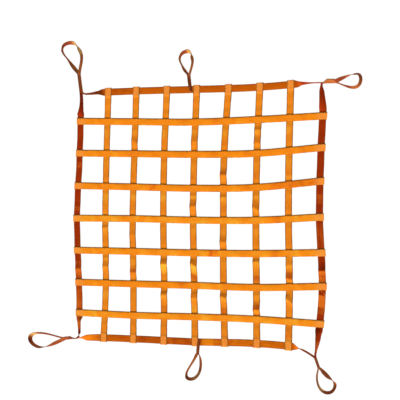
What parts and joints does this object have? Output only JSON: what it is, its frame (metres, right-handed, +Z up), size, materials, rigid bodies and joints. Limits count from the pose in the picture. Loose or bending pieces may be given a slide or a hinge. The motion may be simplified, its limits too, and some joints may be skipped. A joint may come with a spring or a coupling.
{
  "type": "cargo lifting net",
  "caption": "Square webbing lifting net laid out flat, with sewn crossings, a darker border strap and loop eyes at its corners and sides.",
  "frame": {"origin": "on the floor, in the middle of the even grid of straps, under the middle crossing", "axes": "+X across the net to the right, +Y up the net towards its top border, +Z up from the floor"},
  "size_m": [2.4529, 2.4188, 0.0557],
  "materials": {
    "long_webbing": "orange woven polyester webbing, matt",
    "cross_webbing": "bright orange woven polyester webbing, matt",
    "border_webbing": "rust-red woven polyester webbing, matt",
    "eye_webbing": "rust-red woven polyester webbing seen on edge, matt"
  },
  "bodies": {
    "root": {"long_strap_1": "long_webbing", "long_strap_2": "long_webbing", "long_strap_3": "long_webbing", "long_strap_4": "long_webbing", "long_strap_5": "long_webbing", "long_strap_6": "long_webbing", "long_strap_7": "long_webbing", "cross_strap_1": "cross_webbing", "cross_strap_2": "cross_webbing", "cross_strap_3": "cross_webbing", "cross_strap_4": "cross_webbing", "cross_strap_5": "cross_webbing", "cross_strap_6": "cross_webbing", "cross_strap_7": "cross_webbing", "border_top": "border_webbing", "border_right": "border_webbing", "border_bottom": "border_webbing", "border_left": "border_webbing", "eye_top_left": "eye_webbing", "eye_top_right": "eye_webbing", "eye_bottom_right": "eye_webbing", "eye_bottom_left": "eye_webbing", "eye_top_middle": "eye_webbing", "eye_bottom_middle": "eye_webbing"}
  },
  "joints": []
}
